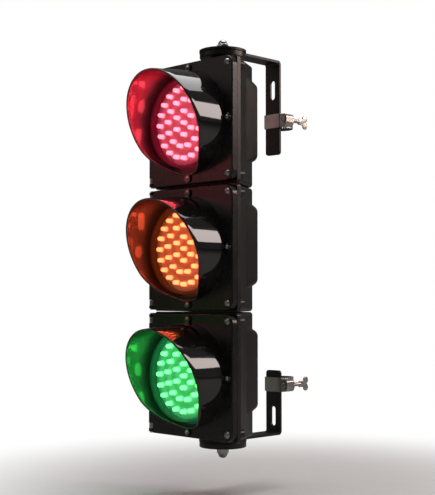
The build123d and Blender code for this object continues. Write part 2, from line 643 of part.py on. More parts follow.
def build():
    """Every node's name and shape."""
    nodes = {}
    for part_name, make in SECTION_PARTS.items():
        shape = make()
        for name, z in SECTIONS.items():
            nodes[f"{name}_{part_name}"] = Pos(0, 0, z) * shape
    for part_name, make in REPEATED_PARTS.items():
        shape = make()
        nodes[part_name] = group([Pos(0, 0, z) * shape for z in SECTIONS.values()])
    shell = housing()
    for name, z in SECTIONS.items():
        nodes[f"{name}_housing"] = Pos(0, 0, z) * housing_holes(name, shell)
    gland_z = SECTIONS["green"] + GLAND_Z
    nodes["green_housing"] -= disc(GLAND_THREAD_R, PAN_BACK - GLAND_THREAD, PAN_BACK + 1, GLAND_X, gland_z)
    nodes["coupling_nipples"], nodes["coupling_rings"], nodes["coupling_nuts"] = section_coupling()
    nodes["end_spacers"] = group([end_spacer(end) for end in SIDE])
    nodes["bottom_cap"] = bottom_cap()
    nodes["pivot_bolts"] = group([pivot_bolt(end) for end in SIDE])
    nodes["pivot_washers"] = group([pivot_washer(end) for end in SIDE])
    nodes["dome_nuts"] = group([dome_nut(end) for end in SIDE])
    nodes["top_bracket"] = bracket("top")
    nodes["bottom_bracket"] = bracket("bottom")
    for name, side in (("upper", 1), ("lower", -1)):
        lift = Pos(0, 0, side * BAND_Z)
        nodes[f"{name}_clamp_band"] = lift * clamp_band()
        nodes[f"{name}_worm_housing"] = lift * worm_housing()
        nodes[f"{name}_thumb_screw"] = lift * thumb_screw()
    nodes["cable_gland"] = cable_gland()
    nodes["terminal_block"] = terminal_block()
    nodes["control_board"] = control_board()
    nodes["control_parts"] = control_parts()
    nodes["board_standoffs"] = board_standoffs()
    return nodes


os.makedirs("parts", exist_ok=True)
for node, shape in build().items():
    export_step(shape, f"parts/{node}.step")
    print(node, len(shape.solids()), round(shape.volume))
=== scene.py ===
"""Looks of a three-section traffic signal head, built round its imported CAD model.

Metres, +Z up. The lamps shine towards -Y, and the origin is on the axis of the pole that the
head is clamped to.
"""
import json
from math import cos, hypot, pi, radians, sin, sqrt

import bmesh
import bpy
from mathutils import Matrix, Vector

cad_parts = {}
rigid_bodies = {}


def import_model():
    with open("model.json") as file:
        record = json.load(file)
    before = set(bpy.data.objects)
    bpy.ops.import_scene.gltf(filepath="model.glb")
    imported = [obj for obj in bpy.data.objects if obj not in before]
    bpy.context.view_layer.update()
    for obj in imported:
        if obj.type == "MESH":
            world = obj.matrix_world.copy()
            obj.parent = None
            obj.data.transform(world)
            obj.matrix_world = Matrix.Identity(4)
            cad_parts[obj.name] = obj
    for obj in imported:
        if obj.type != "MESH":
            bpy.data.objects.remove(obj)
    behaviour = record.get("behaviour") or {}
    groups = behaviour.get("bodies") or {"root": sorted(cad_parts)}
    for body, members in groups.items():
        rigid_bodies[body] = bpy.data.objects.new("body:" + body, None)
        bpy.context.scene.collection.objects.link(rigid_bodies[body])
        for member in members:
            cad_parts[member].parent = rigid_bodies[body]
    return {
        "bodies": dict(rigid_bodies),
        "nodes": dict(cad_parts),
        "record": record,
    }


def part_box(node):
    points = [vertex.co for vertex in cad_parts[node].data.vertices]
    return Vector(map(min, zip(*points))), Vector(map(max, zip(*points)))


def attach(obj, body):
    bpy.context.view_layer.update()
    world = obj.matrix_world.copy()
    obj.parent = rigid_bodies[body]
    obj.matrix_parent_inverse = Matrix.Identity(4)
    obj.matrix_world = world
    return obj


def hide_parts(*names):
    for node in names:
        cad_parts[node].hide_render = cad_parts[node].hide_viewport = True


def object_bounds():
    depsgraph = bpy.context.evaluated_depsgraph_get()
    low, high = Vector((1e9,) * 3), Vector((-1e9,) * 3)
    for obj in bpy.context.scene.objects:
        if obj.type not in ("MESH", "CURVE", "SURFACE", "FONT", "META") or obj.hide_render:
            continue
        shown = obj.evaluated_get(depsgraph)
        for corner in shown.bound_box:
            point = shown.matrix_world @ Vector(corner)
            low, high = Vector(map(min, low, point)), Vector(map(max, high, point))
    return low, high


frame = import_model()
CAD_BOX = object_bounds()

# ---- places that the CAD model sets ------------------------------------------------------------
MM = 0.001
COLOURS = ("red", "amber", "green")
LAMP_Z = {c: (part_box(f"{c}_lens")[0].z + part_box(f"{c}_lens")[1].z) / 2 for c in COLOURS}
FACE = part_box("red_door")[0].y                       # front of the doors
BOARD_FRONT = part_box("red_led_board")[0].y
LED_TALL = BOARD_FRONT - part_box("red_leds")[0].y
SLOT_OF = {part["node"]: part["material_slot"] for part in frame["record"]["subparts"]}


def in_mm(*points):
    """Points given in millimetres, in metres."""
    return [(a * MM, b * MM) for a, b in points]


# ---- sizes of the CAD model, and of the detail that is drawn on it -----------------------------
# hood: reaches are from the door's face, heights from the lamp's centre
VISOR_R = 63.0 * MM
VISOR_WALL = 2.2 * MM
VISOR_TOP = 66.0 * MM                                # reach at the top
VISOR_TIP_R = 56.4 * MM                              # the hood narrows to this there
VISOR_KNEE, VISOR_BEND, VISOR_HEEL = in_mm(          # reach and height where:
    (31.5, -32.0),                                   # the straight front edge ends
    (19.5, -48.5),                                   # the curved edge passes
    (2.5, -61.5))                                    # the curved edge ends
EAR_PLACE = 66.5 * MM                                # ear's centre from the lamp's axis
EAR = in_mm((1.5, 0.0), (4.6, 0.0), (4.6, -2.0), (4.1, -2.5), (1.5, -2.5), (1.5, 0.0))
EAR_FRONT = FACE - 2.5 * MM

# lens: a cup that stands out of the door, with a flange behind the face
LENS_R = 60.0 * MM
LENS_RIM = 4.0 * MM                                  # flange's front, behind the face
LENS_CUP_R = 53.5 * MM
LENS_CUP = 14.0 * MM                                 # cup's side, before the face
LENS_RISE = 7.0 * MM                                 # dome's height
LENS_WALL = 2.0 * MM
LENS_EDGE = 3.0 * MM                                 # rounding between side and dome
LENS_RIPPLE = 0.12 * MM                              # moulded rings inside the dome

LED_R = 2.5 * MM
LED_FOOT = in_mm((0.0, 0.0), (2.9, 0.0), (2.9, -0.9), (2.8, -1.0), (2.5, -1.0))
LED_RINGS = ((0.0, 1), (14.0, 6), (28.0, 13), (42.0, 20))   # radius in mm and count of each ring
LED_RING_GAP = 14.0 * MM

# screws: a shank as (radius, depth), and a head as its radius and height and the reach, half
# width and depth of its cross recess
DOOR_SCREW_OFF = 64.5 * MM                           # from the lamp's centre, along X and Z
DOOR_HEAD = (4.25 * MM, 3.2 * MM, 2.3 * MM, 0.55 * MM, 1.5 * MM)
DOOR_SHANK = in_mm((0.0, 0.0), (2.0, 0.0), (2.0, 8.0), (3.2, 8.0), (3.2, 8.8), (2.0, 8.8),
                   (2.0, 16.2), (1.4, 17.0), (0.0, 17.0))
VISOR_HEAD = (2.6 * MM, 1.8 * MM, 1.5 * MM, 0.36 * MM, 0.9 * MM)
VISOR_SHANK = in_mm((0.0, 0.0), (1.25, 0.0), (1.25, 8.2), (0.0, 9.0))
TERMINAL_HEAD = (1.75 * MM, 0.9 * MM, 1.2 * MM, 0.3 * MM, 0.6 * MM)
BOARD_HEAD = (2.3 * MM, 1.3 * MM, 1.3 * MM, 0.35 * MM, 0.8 * MM)
# a recess's arms: width at the middle, and the width and depth they lose by their ends, as shares
ARM_WIDE, ARM_NARROWS, ARM_RISES = 1.15, 0.5, 0.6
TERMINALS, TERMINAL_PITCH, TERMINAL_SEAT = 6, 8.0 * MM, 4.2 * MM
BOARD_SCREW_X, BOARD_SCREW_Z = 26.0 * MM, 27.0 * MM  # from the control board's middle

# clamps
POLE_R, LEG_T, BAND_T = 14.0 * MM, 3.0 * MM, 0.9 * MM
BAND_CORNER = 1.5 * MM
BAND_ACROSS = [w * MM for w in (-9.0, -8.6, -5.2, 5.2, 8.6, 9.0)]   # from the band's middle
BAND_EDGE_T = BAND_T - 0.3 * MM                      # its rounded edges are thinner
CLAMP_Z = {"upper": 169.0 * MM, "lower": -169.0 * MM}
WORM_X = 20.9 * MM
WORM_THREAD = (3.4 * MM, 0.7 * MM, 1.6 * MM, -18.5 * MM, -4.7 * MM)   # see thread()
WORM_END = in_mm((0.0, -21.0), (2.5, -21.0), (3.0, -20.5), (3.0, -18.4), (0.0, -18.4))
WORM_NECK = in_mm((0.0, -4.8), (4.0, -4.7), (4.4, -4.3), (4.4, -2.9), (4.0, -2.5), (2.8, -2.4),
                  (2.5, -1.6), (2.5, 7.6), (2.8, 8.4), (2.8, 10.1), (2.4, 10.5), (0.0, 10.5))
WING_ROOT = in_mm((9.0, -4.0), (13.0, -4.0))
WING_LOBE, WING_LOBE_R = (22.0 * MM, -4.5 * MM), 4.495 * MM
WING_LOBE_ARC = (173.6, 423.6)                       # where its edge starts and ends, in degrees
WING_T, WING_EDGE = 1.8 * MM, 0.6 * MM


# ---- mesh helpers ------------------------------------------------------------------------------
def finish_piece(name, mesh, body, slot, *nodes, material=None):
    """Makes a mesh a piece of the object that rides on a body and stands for CAD nodes."""
    made = bpy.data.objects.new(name, mesh)
    bpy.context.scene.collection.objects.link(made)
    made.data.materials.append(MATERIALS[material or slot])
    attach(made, body)
    if nodes:
        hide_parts(*nodes)
    return made


def smooth_mesh(name, bm, angle):
    """Mesh from a bmesh, smooth but for edges sharper than the angle in degrees."""
    bmesh.ops.recalc_face_normals(bm, faces=bm.faces)
    mesh = bpy.data.meshes.new(name)
    bm.to_mesh(mesh)
    bm.free()
    mesh.shade_smooth()
    mesh.set_sharp_from_angle(angle=radians(angle))
    return mesh


def add_loops(bm, loops, closed=True):
    """Quads between closed loops of points; closed also joins the last loop to the first."""
    rows = [[bm.verts.new(p) for p in loop] for loop in loops]
    after_rows = rows[1:] + rows[:1] if closed else rows[1:]
    for row, after in zip(rows, after_rows):
        for k in range(len(row)):
            n = (k + 1) % len(row)
            bm.faces.new((row[k], row[n], after[n], after[k]))
    return rows


def add_turned(bm, profile, centre, steps=32):
    """Surface turned round Y from (radius, distance along Y), capped where the radius is 0."""
    cx, cy, cz = centre
    turns = [2 * pi * k / steps for k in range(steps)]
    rings = []
    for r, along in profile:
        places = [(r * cos(a), r * sin(a)) for a in turns] if r else [(0.0, 0.0)]
        rings.append([bm.verts.new((cx + x, cy + along, cz + z)) for x, z in places])
    for ring, after in zip(rings, rings[1:]):
        for k in range(steps):
            n = (k + 1) % steps
            if len(ring) == 1:
                bm.faces.new((ring[0], after[n], after[k]))
            elif len(after) == 1:
                bm.faces.new((ring[k], ring[n], after[0]))
            else:
                bm.faces.new((ring[k], ring[n], after[n], after[k]))


def add_box(bm, low, high):
    """Block between two corners."""
    made = bmesh.ops.create_cube(bm, size=1.0)
    size = Vector(high) - Vector(low)
    middle = (Vector(high) + Vector(low)) / 2
    bmesh.ops.scale(bm, vec=size, verts=made["verts"])
    bmesh.ops.translate(bm, vec=middle, verts=made["verts"])


def arc_points(centre, r, start, end, count):
    """Points of an arc in the profile's plane, from start to end degrees."""
    angles = [radians(start + (end - start) * k / count) for k in range(count + 1)]
    return [(centre[0] + r * cos(a), centre[1] + r * sin(a)) for a in angles]


# ---- materials ---------------------------------------------------------------------------------
class Finish:
    """A Principled material and short calls for the nodes that feed it."""

    def __init__(self, name, **sockets):
        self.material = bpy.data.materials.new(name)
        self.material.use_nodes = True
        self.tree = self.material.node_tree
        self.shader = self.tree.nodes["Principled BSDF"]
        self.output = self.tree.nodes["Material Output"]
        for label, value in sockets.items():
            self.shader.inputs[label.replace("_", " ")].default_value = value
        self.place = self.node("ShaderNodeTexCoord").outputs["Object"]

    def node(self, kind, **settings):
        made = self.tree.nodes.new(kind)
        for label, value in settings.items():
            setattr(made, label, value)
        return made

    def link(self, source, target):
        self.tree.links.new(source, target)

    def noise(self, scale, detail, roughness, stretch=(1.0, 1.0, 1.0)):
        """Noise with 1/scale metre features, drawn out along an axis by a stretch under 1."""
        mapping = self.node("ShaderNodeMapping")
        mapping.inputs["Scale"].default_value = stretch
        self.link(self.place, mapping.inputs["Vector"])
        made = self.node("ShaderNodeTexNoise")
        made.inputs["Scale"].default_value = scale
        made.inputs["Detail"].default_value = detail
        made.inputs["Roughness"].default_value = roughness
        self.link(mapping.outputs["Vector"], made.inputs["Vector"])
        return made.outputs["Fac"]

    def math(self, operation, *values):
        made = self.node("ShaderNodeMath", operation=operation)
        for socket, value in zip(made.inputs, values):
            if isinstance(value, (int, float)):
                socket.default_value = value
            else:
                self.link(value, socket)
        return made.outputs[0]

    def axes(self):
        """X, Y and Z of the place on the surface."""
        split = self.node("ShaderNodeSeparateXYZ")
        self.link(self.place, split.inputs[0])
        return split.outputs["X"], split.outputs["Y"], split.outputs["Z"]

    def off_axis(self, x, z, centre_z):
        """Distance from a lamp's axis."""
        up = self.math("SUBTRACT", z, centre_z)
        return self.math("SQRT", self.math("ADD", self.math("POWER", x, 2.0),
                                           self.math("POWER", up, 2.0)))

    def ramp(self, source, *stops):
        """Colour ramp between two (position, colour) stops."""
        made = self.node("ShaderNodeValToRGB")
        for element, (position, colour) in zip(made.color_ramp.elements, stops):
            element.position = position
            element.color = (*colour, 1.0)
        self.link(source, made.inputs["Fac"])
        return made.outputs["Color"]

    def spread(self, source, low, high):
        """Map of a 0 to 1 value to low to high."""
        made = self.node("ShaderNodeMapRange")
        made.inputs["To Min"].default_value = low
        made.inputs["To Max"].default_value = high
        self.link(source, made.inputs["Value"])
        return made.outputs["Result"]

    def bump(self, height, distance, strength, under=None):
        made = self.node("ShaderNodeBump")
        made.inputs["Distance"].default_value = distance
        made.inputs["Strength"].default_value = strength
        self.link(height, made.inputs["Height"])
        if under is not None:
            self.link(under, made.inputs["Normal"])
        return made.outputs["Normal"]

    def feed(self, **sources):
        """Links node outputs to the Principled shader's sockets."""
        for label, source in sources.items():
            self.link(source, self.shader.inputs[label.replace("_", " ")])
        return self


def moulded_noises(finish):
    """Haze, flow lines and fine grain of a moulded skin."""
    return (finish.noise(38.0, 4.0, 0.62), finish.noise(260.0, 2.0, 0.5, (1.0, 1.0, 0.35)),
            finish.noise(3800.0, 2.0, 0.6))


def moulded(name, dark, light, low_rough, high_rough):
    """Glossy moulded plastic: a faint haze, a wavy skin and a fine grain."""
    finish = Finish(name, IOR=1.5)
    haze, flow, fine = moulded_noises(finish)
    wavy = finish.bump(flow, 0.03 * MM, 0.6)
    return finish.feed(
        Base_Color=finish.ramp(haze, (0.3, dark), (0.75, light)),
        Roughness=finish.spread(haze, low_rough, high_rough),
        Normal=finish.bump(fine, 0.006 * MM, 0.5, wavy)).material


def brushed(name, colour, shade, low_rough, high_rough, along=(1.0, 0.06, 1.0)):
    """Metal with fine lines drawn along one axis and faint stains."""
    finish = Finish(name, Metallic=1.0, Anisotropic=0.35)
    lines = finish.noise(900.0, 3.0, 0.7, along)
    stains = finish.noise(70.0, 4.0, 0.6)
    worn = finish.math("MULTIPLY", lines, stains)
    return finish.feed(
        Base_Color=finish.ramp(worn, (0.12, shade), (0.45, colour)),
        Roughness=finish.spread(lines, low_rough, high_rough),
        Normal=finish.bump(lines, 0.01 * MM, 0.5)).material


def powder_coat(name):
    """Black paint with the small bumps of a baked powder."""
    finish = Finish(name, IOR=1.5)
    peel = finish.noise(1100.0, 2.0, 0.5)
    wear = finish.noise(60.0, 5.0, 0.65)
    return finish.feed(
        Base_Color=finish.ramp(wear, (0.35, (0.006, 0.006, 0.007)), (0.8, (0.016, 0.016, 0.018))),
        Roughness=finish.spread(wear, 0.34, 0.5),
        Normal=finish.bump(peel, 0.05 * MM, 0.55)).material


def matte(name, dark, light, low_rough, high_rough):
    """Rubber or nylon with an even grain."""
    finish = Finish(name, IOR=1.45)
    cloud = finish.noise(90.0, 4.0, 0.6)
    return finish.feed(
        Base_Color=finish.ramp(cloud, (0.3, dark), (0.7, light)),
        Roughness=finish.spread(cloud, low_rough, high_rough),
        Normal=finish.bump(finish.noise(1500.0, 2.0, 0.6), 0.03 * MM, 0.6)).material


# Each lamp's colours. cast: light on the hood and doors. led: the LEDs. near, between: the LEDs'
# light painted on the board as a glow at and between their rings. tint, haze: what the lens lets
# through and gives off.
# power: the LEDs' emission strength. glow_watts, spill_watts: the lights in and before the lamp.
LIGHT = {
    "red": {"cast": (1.0, 0.004, 0.03), "led": (1.0, 0.085, 0.118), "power": 11.0,
            "near": (0.16, 0.05, 0.09), "between": (0.06, 0.008, 0.02),
            "tint": (1.0, 0.92, 0.94), "haze": (0.30, 0.01, 0.03),
            "glow_watts": 2.0, "spill_watts": 0.060},
    "amber": {"cast": (1.0, 0.035, 0.010), "led": (1.0, 0.120, 0.045), "power": 9.0,
              "near": (0.22, 0.060, 0.012), "between": (0.07, 0.012, 0.002),
              "tint": (1.0, 0.96, 0.90), "haze": (0.18, 0.030, 0.006),
              "glow_watts": 0.4, "spill_watts": 0.030},
    "green": {"cast": (0.004, 1.0, 0.06), "led": (0.085, 1.0, 0.140), "power": 7.0,
              "near": (0.07, 0.30, 0.16), "between": (0.012, 0.14, 0.05),
              "tint": (0.90, 1.0, 0.95), "haze": (0.02, 0.26, 0.08),
              "glow_watts": 0.5, "spill_watts": 0.014},
}


def scaled(colour, factor):
    return [factor * v for v in colour]


def lit_led(colour):
    """Clear epoxy that glows through its whole body, brightest from half way to the tip."""
    light = LIGHT[colour]
    finish = Finish(f"{colour}_led", Roughness=0.12, IOR=1.5, Emission_Strength=light["power"])
    y = finish.axes()[1]
    height = finish.node("ShaderNodeMapRange")
    height.inputs["From Min"].default_value = BOARD_FRONT
    height.inputs["From Max"].default_value = BOARD_FRONT - LED_TALL
    finish.link(y, height.inputs["Value"])
    height, led = height.outputs["Result"], light["led"]
    return finish.feed(
        Base_Color=finish.ramp(height, (0.0, scaled(led, 0.4)), (1.0, led)),
        Emission_Color=finish.ramp(height, (0.0, scaled(led, 0.6)), (0.5, led))).material


def lit_board(colour):
    """Solder mask, grey in the lamp's light, with the LEDs' light painted on as a glow along their
    rings.
    """
    light = LIGHT[colour]
    finish = Finish(f"{colour}_board", Roughness=0.5, Emission_Strength=1.0)
    grain = finish.noise(420.0, 4.0, 0.6)
    x, _, z = finish.axes()
    far = finish.off_axis(x, z, LAMP_Z[colour])
    # painted light: the board's emission, brightest on each ring of LEDs, stands in for their light
    # falling on it
    wave = finish.math("COSINE", finish.math("MULTIPLY", far, 2 * pi / LED_RING_GAP))
    painted_glow_at_ring = finish.math("MULTIPLY_ADD", wave, 0.5, 0.5)
    return finish.feed(
        Base_Color=finish.ramp(grain, (0.3, (0.20, 0.20, 0.195)), (0.7, (0.26, 0.265, 0.255))),
        Emission_Color=finish.ramp(painted_glow_at_ring, (0.0, light["between"]), (0.8, light["near"])),
        Normal=finish.bump(grain, 0.02 * MM, 0.4)).material


def tinted_lens(colour):
    """Clear tinted cup: a lit, glossy haze over what is behind, denser towards the edge."""
    light = LIGHT[colour]
    tint, cast, haze = light["tint"], light["cast"], light["haze"]
    finish = Finish(f"{colour}_lens", Roughness=0.08, IOR=1.49, Emission_Strength=1.0)
    clear = finish.node("ShaderNodeBsdfTransparent")
    cloud = finish.noise(50.0, 3.0, 0.6)
    finish.link(finish.ramp(cloud, (0.3, scaled(tint, 0.95)), (0.7, tint)), clear.inputs["Color"])
    finish.feed(
        Base_Color=finish.ramp(cloud, (0.3, scaled(cast, 0.04)), (0.7, scaled(cast, 0.06))),
        Emission_Color=finish.ramp(cloud, (0.3, scaled(haze, 0.9)), (0.7, haze)),
        Normal=finish.bump(finish.noise(240.0, 2.0, 0.5), 0.02 * MM, 0.4))
    mix = finish.node("ShaderNodeMixShader")
    rim = finish.node("ShaderNodeLayerWeight")
    rim.inputs["Blend"].default_value = 0.35
    finish.link(finish.spread(rim.outputs["Facing"], 0.07, 0.30), mix.inputs["Fac"])
    finish.link(clear.outputs["BSDF"], mix.inputs[1])
    finish.link(finish.shader.outputs["BSDF"], mix.inputs[2])
    finish.link(mix.outputs["Shader"], finish.output.inputs["Surface"])
    return finish.material


def visor_plastic(colour):
    """Polished black plastic outside; inside the hood the same plastic with a satin texture."""
    finish = Finish(f"{colour}_visor_black", IOR=1.5, Coat_Weight=1.0, Coat_Roughness=0.02)
    haze, flow, fine = moulded_noises(finish)
    x, y, z = finish.axes()
    far = finish.off_axis(x, z, LAMP_Z[colour])
    slope = (VISOR_R - VISOR_TIP_R) / VISOR_TOP
    mid_wall = finish.math("MULTIPLY_ADD", y, slope, VISOR_R - VISOR_WALL / 2 - FACE * slope)
    outside = finish.math("GREATER_THAN", far, mid_wall)
    satin = finish.spread(haze, 0.30, 0.38)
    polished = finish.spread(haze, 0.05, 0.09)
    rough = finish.math("ADD", finish.math("MULTIPLY", outside, polished),
                        finish.math("MULTIPLY", finish.math("SUBTRACT", 1.0, outside), satin))
    return finish.feed(
        Base_Color=finish.ramp(haze, (0.3, (0.010, 0.0085, 0.0085)), (0.75, (0.016, 0.014, 0.014))),
        Roughness=rough,
        Normal=finish.bump(fine, 0.001 * MM, 0.5, finish.bump(flow, 0.003 * MM, 0.6))).material


MATERIALS = {
    "housing_black": moulded(
        "housing_black", (0.012, 0.0105, 0.010), (0.020, 0.018, 0.017), 0.24, 0.42),
    "door_black": moulded(
        "door_black", (0.009, 0.0075, 0.0075), (0.015, 0.013, 0.013), 0.20, 0.34),
    "stainless": brushed("stainless", (0.78, 0.76, 0.74), (0.50, 0.48, 0.46), 0.26, 0.44),
    "bright_plated": brushed("bright_plated", (0.74, 0.76, 0.72), (0.50, 0.52, 0.48), 0.12, 0.26),
    "bracket_black": powder_coat("bracket_black"),
    "brass_plated": brushed(
        "brass_plated", (0.62, 0.52, 0.32), (0.40, 0.32, 0.18), 0.22, 0.40, (1.0, 1.0, 0.06)),
    "rubber_black": matte("rubber_black", (0.010, 0.010, 0.010), (0.022, 0.022, 0.022), 0.55, 0.8),
    "gland_black": matte("gland_black", (0.014, 0.014, 0.015), (0.026, 0.026, 0.027), 0.38, 0.55),
    "module_grey": matte("module_grey", (0.10, 0.10, 0.105), (0.15, 0.15, 0.155), 0.42, 0.6),
    "board_green": matte("board_green", (0.012, 0.11, 0.04), (0.02, 0.17, 0.06), 0.3, 0.45),
    "component_dark": matte(
        "component_dark", (0.012, 0.012, 0.014), (0.03, 0.03, 0.034), 0.35, 0.55),
}
for colour in COLOURS:
    MATERIALS[f"{colour}_led"] = lit_led(colour)
    MATERIALS[f"{colour}_lens"] = tinted_lens(colour)
    MATERIALS[f"{colour}_board"] = lit_board(colour)
    MATERIALS[f"{colour}_visor_black"] = visor_plastic(colour)


# ---- CAD nodes keep their shape and get their finish -------------------------------------------
OWN_FINISH = {f"{c}_led_board": f"{c}_board" for c in COLOURS}
OWN_FINISH.update({f"{c}_visor": f"{c}_visor_black" for c in COLOURS})
for node, part in frame["nodes"].items():
    slot = SLOT_OF[node]
    part.data.materials.clear()
    part.data.materials.append(MATERIALS[OWN_FINISH.get(node, slot)])


# ---- visors ------------------------------------------------------------------------------------
def circle_through(a, b, c):
    """Centre and radius of the circle through three points."""
    (ax, ay), (bx, by), (cx, cy) = a, b, c
    aa, bb, cc = ax**2 + ay**2, bx**2 + by**2, cx**2 + cy**2
    d = 2 * (ax * (by - cy) + bx * (cy - ay) + cx * (ay - by))
    ux = (aa * (by - cy) + bb * (cy - ay) + cc * (ay - by)) / d
    uy = (aa * (cx - bx) + bb * (ax - cx) + cc * (bx - ax)) / d
    return (ux, uy), hypot(ax - ux, ay - uy)


UNDERSIDE, UNDERSIDE_R = circle_through(VISOR_KNEE, VISOR_BEND, VISOR_HEEL)


def visor_reach(z):
    """How far the hood stands out at a height from the lamp's centre."""
    knee_reach, knee_z = VISOR_KNEE
    heel_reach, heel_z = VISOR_HEEL
    if z >= knee_z:
        slanted = (VISOR_TOP - knee_reach) * (z - knee_z) / (VISOR_TIP_R - knee_z)
        return min(VISOR_TOP, knee_reach + slanted)
    if z <= heel_z:
        return heel_reach
    side = sqrt(max(UNDERSIDE_R**2 - (z - UNDERSIDE[1])**2, 0.0))
    near = min((UNDERSIDE[0] + side, UNDERSIDE[0] - side), key=lambda out: abs(out - VISOR_BEND[0]))
    return max(near, heel_reach)


def visor_radius(out):
    """Outer radius of the hood at a distance from the face."""
    return VISOR_R - (VISOR_R - VISOR_TIP_R) * out / VISOR_TOP


def quarters(colour):
    """(x, z) of the four ears round a lamp."""
    for k in range(4):
        a = k * pi / 2
        yield EAR_PLACE * cos(a), LAMP_Z[colour] + EAR_PLACE * sin(a)


def visor(colour):
    """Conical hood with a rounded rim and four ears."""
    around, along, lip = 240, 10, 6
    half = VISOR_WALL / 2
    loops = []
    for k in range(around):
        a = 2 * pi * k / around
        reach = 30.0 * MM       # a first guess
        for _ in range(12):     # the radius depends on the reach and the reach on the radius
            reach = visor_reach(visor_radius(reach) * sin(a))
        reach -= half
        outside = [(visor_radius(reach * i / along), reach * i / along) for i in range(along + 1)]
        rim = arc_points((visor_radius(reach) - half, reach), half, 0, 180, lip)[1:-1]
        inside = [(r - VISOR_WALL, out) for r, out in reversed(outside)]
        loops.append([(r * cos(a), FACE - out, LAMP_Z[colour] + r * sin(a))
                      for r, out in outside + rim + inside])
    bm = bmesh.new()
    add_loops(bm, loops)
    for x, z in quarters(colour):
        add_turned(bm, EAR, (x, FACE, z), steps=28)
    mesh = smooth_mesh(f"{colour}_visor_moulding", bm, 40)
    return finish_piece(mesh.name, mesh, f"{colour}_door", "visor_black", f"{colour}_visor",
                        material=f"{colour}_visor_black")


# ---- lenses and LEDs ---------------------------------------------------------------------------
def leds(colour):
    """Bullet LEDs with a collar at the board, in rings that each start at the top."""
    dome = arc_points((0.0, LED_R - LED_TALL), LED_R, 0, -90, 8)[:-1]
    profile = LED_FOOT + dome + [(0.0, -LED_TALL)]
    bm = bmesh.new()
    for r, count in LED_RINGS:
        for k in range(count):
            a = pi / 2 + 2 * pi * k / count
            x, z = r * MM * cos(a), r * MM * sin(a)
            add_turned(bm, profile, (x, BOARD_FRONT, LAMP_Z[colour] + z), steps=20)
    mesh = smooth_mesh(f"{colour}_led_domes", bm, 50)
    finish_piece(mesh.name, mesh, f"{colour}_door", f"{colour}_led", f"{colour}_leds")


def lens(colour):
    """Domed cup with a flat flange, and shallow rings inside its front."""
    def front(r, inset):
        """Y of the dome at a radius; the inset is 0 outside and the wall inside."""
        cup = LENS_CUP_R - inset
        ball = (cup**2 + LENS_RISE**2) / (2 * LENS_RISE)
        return -LENS_CUP - LENS_RISE + inset + ball - sqrt(ball**2 - r**2)

    rings = 36
    edge = LENS_CUP_R - LENS_EDGE
    profile = [(edge * k / rings, front(edge * k / rings, 0.0)) for k in range(rings + 1)]
    profile += arc_points((edge, front(edge, 0.0) + LENS_EDGE), LENS_EDGE, -90, 0, 6)[1:]
    in_r = LENS_CUP_R - LENS_WALL
    profile += [(LENS_CUP_R, 0.0), (LENS_CUP_R, LENS_RIM), (LENS_R, LENS_RIM),
                (LENS_R, LENS_RIM + LENS_WALL), (in_r, LENS_RIM + LENS_WALL), (in_r, 0.0)]
    bend = LENS_EDGE - LENS_WALL
    edge = in_r - bend
    profile += arc_points((edge, front(edge, LENS_WALL) + bend), bend, 0, -90, 4)[:-1]
    for k in range(rings, -1, -1):
        r = edge * k / rings
        profile.append((r, front(r, LENS_WALL) - LENS_RIPPLE * (k % 2)))
    bm = bmesh.new()
    add_turned(bm, profile, (0.0, FACE, LAMP_Z[colour]), steps=144)
    mesh = smooth_mesh(f"{colour}_lens_cup", bm, 40)
    finish_piece(mesh.name, mesh, f"{colour}_door", f"{colour}_lens", f"{colour}_lens")


# ---- screws ------------------------------------------------------------------------------------
def cross_screw(bm, centre, head_r, height, reach, width, deep):
    """Domed head seen from -Y. The arms of its cross recess narrow and rise outwards."""
    rings, around = 22, 72
    turns = [2 * pi * k / around for k in range(around)]
    cx, cy, cz = centre
    ball = (head_r**2 + height**2) / (2 * height)

    def front(r, a):
        """Y of the head from its seat."""
        x, z = abs(r * cos(a)), abs(r * sin(a))
        y = ball - height - sqrt(ball**2 - r**2)
        if max(x, z) < reach and min(x, z) < width * (ARM_WIDE - ARM_NARROWS * r / reach):
            y += deep * (1 - ARM_RISES * r / reach)
        return min(y, 0.0)

    middle = bm.verts.new((cx, cy + front(0, 0), cz))
    loops = []
    for i in range(1, rings + 1):
        r = head_r * i / rings
        loops.append([(cx + r * cos(a), cy + front(r, a), cz + r * sin(a)) for a in turns])
    rows = add_loops(bm, loops, closed=False)
    back = bm.verts.new((cx, cy, cz))
    for k in range(around):
        n = (k + 1) % around
        bm.faces.new((rows[0][k], rows[0][n], middle))
        bm.faces.new((rows[-1][k], rows[-1][n], back))


def screws(colour):
    """Door screws with their shanks and collars, and the visor's screws."""
    bm = bmesh.new()
    for side in (-1, 1):
        centre = (DOOR_SCREW_OFF, FACE, LAMP_Z[colour] + side * DOOR_SCREW_OFF)
        cross_screw(bm, centre, *DOOR_HEAD)
        add_turned(bm, DOOR_SHANK, centre, steps=24)
    mesh = smooth_mesh(f"{colour}_door_screw_heads", bm, 30)
    finish_piece(mesh.name, mesh, f"{colour}_door", "stainless", f"{colour}_door_screws")
    bm = bmesh.new()
    for x, z in quarters(colour):
        cross_screw(bm, (x, EAR_FRONT, z), *VISOR_HEAD)
        add_turned(bm, VISOR_SHANK, (x, EAR_FRONT, z), steps=16)
    mesh = smooth_mesh(f"{colour}_visor_screw_heads", bm, 30)
    finish_piece(mesh.name, mesh, f"{colour}_door", "stainless", f"{colour}_visor_screws")


